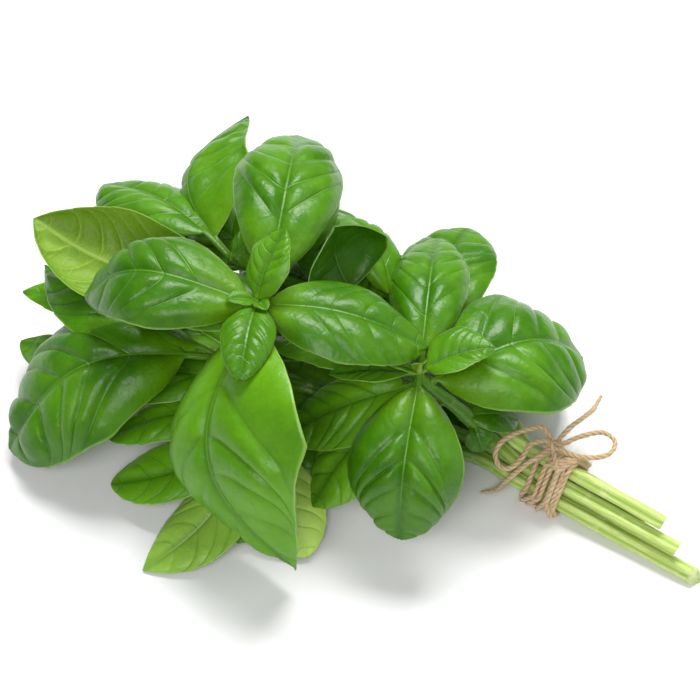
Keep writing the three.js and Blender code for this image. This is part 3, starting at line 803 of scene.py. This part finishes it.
def stem(name, points, node):
    """A stem: four rounded corners with a shallow groove down each face, a little thicker at its leaf joints.

    Radius = the taper from cut end to tip, times 0.97 + 0.085 cos(4 angle) less 0.06 of a narrow dip in the
    middle of each face and with fine ridges, times a small swelling at each joint and a slow wave.
    """
    look = bpy.context.scene.basil_stems
    rng = np.random.default_rng(len(name) + int(points[0][0]))
    rows, sides = 220, 40
    t = np.linspace(0, 1, rows)
    line = even_line(placed(points), t)
    angle = turns(sides)
    turn = rng.uniform(0, 1.5) + 0.5 * t[:, None]
    radius = (look.cut_radius + (look.tip_radius - look.cut_radius) * t**2)[:, None]
    corner = np.cos(4 * (angle + turn))
    dip = bell(1 + corner, 0.45)
    joints = sorted({place[0] for place in LEAVES[node].values()})
    swell = sum(bell(t - j, 0.012) for j in joints)[:, None]
    ridges = 0.012 * np.sin(angle * 11 + turn * 3) + 0.01 * np.sin(angle * 17 - turn * 2)
    reach = radius * (0.97 + 0.085 * corner - 0.06 * dip + ridges) * (1 + 0.10 * swell)
    reach = reach * (1 + 0.02 * np.sin(2 * np.pi * (t[:, None] * 9 + rng.uniform())))
    made, quads, caps = tube(line, np.tile([0.0, 0.3, 1.0], (rows, 1)), reach)
    run = run_of(line)
    slant = CUT_SLANT[node] * (1 - smooth(run, 0, CUT_REACH))[:, None] * reach * np.cos(angle + 0.6)
    made[:-2] += slant.reshape(-1, 1) * unit(line[0] - line[1])
    ends = np.array([[0, 0, 0], [0, 0, run[-1] / STEM_LAY]])
    cut = np.zeros((rows, sides))
    cut[0] = 0.35
    values = {"height": np.append(np.repeat(t, sides), [0, 1]), "groove": np.append(dip.ravel(), [0, 0]),
              "cut": np.append(cut.ravel(), [1, 0]),
              "lay": np.concatenate([lay_of(angle + turn, run, STEM_LAY), ends])}
    return piece(name, made, quads, caps, [kept("basil_stem", stem_finish)], values, nodes=(node,))


def twisted(line, out, radius, closed=False, sides=20, phase=0.0):
    """Three-ply twine round a line: radius = 0.74 + 0.26 of the plies' rounded backs, turning once a pitch.

    Returns the tube's arrays with its lay and groove values.
    """
    pitch = bpy.context.scene.basil_twine.pitch
    run = run_of(line)
    total = run[-1] + (np.linalg.norm(line[0] - line[-1]) if closed else 0)
    twists = max(1, round(total / pitch)) if closed else total / pitch
    ply = turns(sides)[None] - (2 * np.pi * twists * run / total + phase)[:, None]
    back = np.abs(np.cos(1.5 * ply)) ** 0.8
    lumps = (1 + 0.05 * np.sin(run / 0.0021 + phase * 3)[:, None]
             + 0.035 * np.sin(run / 0.0009 + phase)[:, None])
    points, quads, caps = tube(line, out, radius[:, None] * (0.74 + 0.26 * back) * lumps, closed)
    lay = lay_of(ply, run, TWINE_LAY)
    groove = (1 - back.ravel()) ** 2
    if not closed:
        lay = np.concatenate([lay, [[0, 0, 0], [0, 0, run[-1] / TWINE_LAY]]])
        groove = np.append(groove, [0.3, 0.3])
    return points, quads, caps, lay, groove


def strand(name, points, quads, caps, lay, groove, node):
    """A piece of twine that stands for a CAD node."""
    return piece(name, points, quads, caps, [kept("jute_twine", jute_finish)], {"groove": groove, "lay": lay},
                 nodes=(node,))


def flat_side(line):
    """A direction that a nearly flat curve never points along: square to the plane it lies in."""
    return np.tile(np.linalg.svd(line - line.mean(axis=0))[2][2], (len(line), 1))


def loose_fibres(name, line, radius, count, seed):
    """Fine fibres that stand off the twine: thin three-sided tubes that leave the surface and bend over."""
    rng = np.random.default_rng(seed)
    i = rng.integers(1, len(line) - 1, count)
    ahead = unit(line[i + 1] - line[i - 1]) * rng.choice((-1, 1), count)[:, None]
    out = rng.normal(size=(count, 3))
    out = unit(out - ahead * np.sum(out * ahead, axis=1, keepdims=True))
    reach = rng.uniform(0.5, 2.4, count)[:, None, None] * MM
    rows, sides = 5, 3
    f = np.linspace(0, 1, rows)[None, :, None]
    bend = rng.normal(size=(count, 1, 3)) * 0.35
    path = line[i][:, None] + out[:, None] * (radius * 0.75 + reach * 0.55 * f**1.5) + reach * (
        ahead[:, None] * f + bend * f**2)
    side = unit(np.cross(ahead, out))[:, None]
    thick = 0.045 * MM * (1 - 0.7 * f)
    ring = [path + (out[:, None] * math.cos(a) + side * math.sin(a)) * thick for a in (0, 2.094, 4.189)]
    points = np.stack(ring, axis=2)
    points[..., 2] = np.maximum(points[..., 2], 0.02 * MM)
    start = np.arange(count)[:, None] * rows * sides
    quads = (start[..., None] + grid_faces(rows, sides, wrap_cols=True)[None]).reshape(-1, 4)
    caps = np.concatenate([start + [[0, 2, 1]], start + [[12, 13, 14]]])
    finish = kept("jute_fibre", fibre_finish)
    return piece(name, points.reshape(-1, 3), quads, caps, [finish], {})


def tie_line(x0, tilt, phase, off, count):
    """A wrap round the tie's three outer corners, at a fixed reach from them.

    It swings along the stems by tilt times the sine of angle and phase; off lifts its top over other wraps.
    """
    scene = bpy.context.scene
    reach = scene.basil_stems.cut_radius / MM + 0.5 + scene.basil_twine.diameter / 2 / MM
    a = np.linspace(0, 2 * np.pi, 721)[:-1]
    reach = reach + off * smooth(np.sin(a), -0.9, -0.3)
    corners = np.array(TIE_CORNERS)
    best = np.argmax(corners @ np.stack([np.cos(a), np.sin(a)]), axis=0)
    fine = np.stack([x0 + tilt * np.sin(a + phase), corners[best, 0] + reach * np.cos(a),
                     corners[best, 1] + reach * np.sin(a)], axis=1)
    fine = placed(respaced(np.concatenate([fine, fine[:1]]), count + 1)[:-1])
    middle = placed([0, corners[:, 0].mean(), corners[:, 1].mean()])
    return fine, unit((fine - middle) * [0, 1, 1])


# ---- operators ----
def aimed(name, data, where):
    """A camera or lamp in its place, turned to the middle of the bunch."""
    made = bpy.data.objects.new(name, data)
    made.location = where
    made.rotation_euler = (Vector(AIM) - made.location).to_track_quat("-Z", "Y").to_euler()
    bpy.context.scene.collection.objects.link(made)
    return made


class Stage(bpy.types.Operator):
    """Pale floor, soft lights and the camera"""

    bl_idname = "basil.stage"
    bl_label = "Stage"

    def execute(self, context):
        look = context.scene.basil_stage
        f = Finish("pale_floor")
        shade = f.noise(6, 2, 0.5).step(0.0, 1.0, 0.985, 1.0)
        finish = f.surface(Base_Color=f.layers((0.8, 0.8, 0.8), (shade, look.floor)), Roughness=0.75)
        grid = np.linspace(-FLOOR_HALF, FLOOR_HALF, 3)
        x, y = np.meshgrid(grid, grid, indexing="ij")
        points = np.stack([x, y, np.full_like(x, FLOOR_HEIGHT)], axis=-1).reshape(-1, 3)
        mesh = bpy.data.meshes.new("floor")
        mesh.from_pydata(points.tolist(), [], grid_faces(3, 3, flip=True).tolist())
        mesh.materials.append(finish)
        plane = bpy.data.objects.new("floor", mesh)
        context.scene.collection.objects.link(plane)

        camera = bpy.data.cameras.new("camera")
        camera.lens, camera.sensor_width = LENS, SENSOR
        camera.clip_start, camera.clip_end = 0.01, 20
        where = Vector(AIM) + Vector(TOWARD_CAMERA).normalized() * CAMERA_DISTANCE
        context.scene.camera = aimed("camera", camera, where)
        for name, where, size, power in LIGHTS:
            lamp = bpy.data.lights.new(name, "AREA")
            lamp.shape, lamp.size, lamp.size_y = "RECTANGLE", *size
            lamp.energy = power * look.light
            aimed(name, lamp, where)

        world = bpy.data.worlds.new("soft_white")
        world.use_nodes = True
        sky = world.node_tree.nodes["Background"]
        sky.inputs["Color"].default_value = (1, 1, 1, 1)
        sky.inputs["Strength"].default_value = SKY * look.light
        context.scene.world = world
        context.scene.view_settings.view_transform = "Standard"
        return {"FINISHED"}


class FreeTwine(bpy.types.Operator):
    """The bow's two loops and the twine's two ends"""

    bl_idname = "basil.free_twine"
    bl_label = "Bow and twine ends"

    def execute(self, context):
        look = context.scene.basil_twine
        for order, (name, route) in enumerate(ROUTES.items()):
            loop = name.startswith("bow")
            line = spaced_line(placed(route), 230)
            t = np.linspace(0, 1, len(line))
            slim = 1.0 if loop else 1 - 0.35 * smooth(t, 0.55, 1.0)
            radius = look.diameter / 2 * 0.9 * slim * np.ones(len(line))
            points, quads, caps, lay, groove = twisted(line, flat_side(line), radius, phase=1.3 * order)
            points[:, 2] = np.maximum(points[:, 2], 0.05 * MM)
            made = strand(name + "_strand", points, quads, caps, lay, groove, name)
            fuzz = loose_fibres(name + "_fibres", line, look.diameter / 2, 150, 40 + order)
        return {"FINISHED"}


class Binding(bpy.types.Operator):
    """The wraps round the stems and the knot on top"""

    bl_idname = "basil.binding"
    bl_label = "Binding"

    def execute(self, context):
        radius = context.scene.basil_twine.diameter / 2
        parts, lines = [], []
        for order, wrap in enumerate(WRAPS):
            line, out = tie_line(*wrap, 300)
            lines.append(line)
            parts.append(twisted(line, out, np.full(len(line), radius * 0.92), True, 18, 0.8 * order))
        # the knot: a trefoil, (2 + cos 3a) (cos 2a, sin 2a) / 3 and 0.8 sin 3a
        a = np.linspace(0, 2 * np.pi, 421)[:-1]
        tangle = np.stack([(2 + np.cos(3 * a)) * np.cos(2 * a) / 3, np.sin(3 * a) * 0.8,
                           (2 + np.cos(3 * a)) * np.sin(2 * a) / 3], axis=1)
        line = tangle * (np.array(KNOT_SIZE) * MM) + np.array(KNOT_MIDDLE) * MM + PLACE
        lines.append(line)
        out = unit(line - placed(KNOT_MIDDLE))
        parts.append(twisted(line, out, np.full(len(line), radius * 0.86), True, 16, 0.3))
        # a short neck from the knot to the start of each free piece, and to the far end of each loop
        middle = np.array(KNOT_MIDDLE)
        for order, (name, route) in enumerate(ROUTES.items()):
            for end, second in ((0, 1), (-1, -2))[:2 if name.startswith("bow") else 1]:
                end, second = np.array(route[end]), np.array(route[second])
                inner = middle + (end - middle) * 0.2
                neck = [inner, inner + (end - inner) * 0.6 + (end - second) * 0.12,
                        end + (second - end) * 0.06]
                line = spaced_line(placed(neck), 24)
                thick = np.full(24, radius * 0.95)
                parts.append(twisted(line, flat_side(line), thick, sides=16, phase=order))
        points, quads, caps, lay, groove = zip(*parts)
        starts = np.cumsum([0] + [len(p) for p in points])
        quads = [q + start for q, start in zip(quads, starts)]
        tris = [t + start for t, start in zip(caps, starts) if t is not None]
        joined = map(np.concatenate, (points, quads, tris, lay, groove))
        strand("twine_binding_strands", *joined, "twine_binding")
        loose_fibres("twine_binding_fibres", np.concatenate(lines), radius, 900, 77)
        return {"FINISHED"}


class Stems(bpy.types.Operator):
    """The six stems from their cut ends to their growing tips"""

    bl_idname = "basil.stems"
    bl_label = "Stems"

    def execute(self, context):
        for node, points in STEMS.items():
            stem(node.replace("sprig", "stem"), points, node)
        return {"FINISHED"}


class GrownLeaves(bpy.types.Operator):
    """The leaves of every stem"""

    bl_idname = "basil.leaves"
    bl_label = "Leaves"

    def execute(self, context):
        for row, (node, leaves) in enumerate(LEAVES.items()):
            line = placed(STEMS[node])
            for column, (key, (t, tip, width, form)) in enumerate(leaves.items()):
                base = even_line(line, np.array([min(t, 0.985)]))[0]
                leaf(f"leaf_{key}", base, placed(tip), width * MM, form, 100 * row + column + 7, (node,),
                     thin=width < 24)
        return {"FINISHED"}


OPERATORS = (Stage, FreeTwine, Binding, Stems, GrownLeaves)
SETTINGS = {"basil_leaves": LeafSettings, "basil_stems": StemSettings, "basil_twine": TwineSettings,
            "basil_stage": StageSettings}


class BasilPanel(bpy.types.Panel):
    """Basil bunch"""

    bl_idname = "VIEW3D_PT_basil"
    bl_label = "Basil Bunch"
    bl_space_type = "VIEW_3D"
    bl_region_type = "UI"
    bl_category = "Basil"

    def draw(self, context):
        for operator in OPERATORS:
            self.layout.operator(operator.bl_idname)
        for key, group in SETTINGS.items():
            box = self.layout.box()
            for name in group.__annotations__:
                box.prop(getattr(context.scene, key), name)


CLASSES = (*SETTINGS.values(), *OPERATORS, BasilPanel)


def register():
    for made in CLASSES:
        bpy.utils.register_class(made)
    for key, group in SETTINGS.items():
        setattr(bpy.types.Scene, key, PointerProperty(type=group))


def unregister():
    for key in SETTINGS:
        delattr(bpy.types.Scene, key)
    for made in reversed(CLASSES):
        bpy.utils.unregister_class(made)


def main():
    register()
    bpy.ops.basil.stage()
    bpy.ops.basil.free_twine()
    bpy.ops.basil.binding()
    bpy.ops.basil.stems()
    bpy.ops.basil.leaves()


if __name__ == "__main__":
    main()
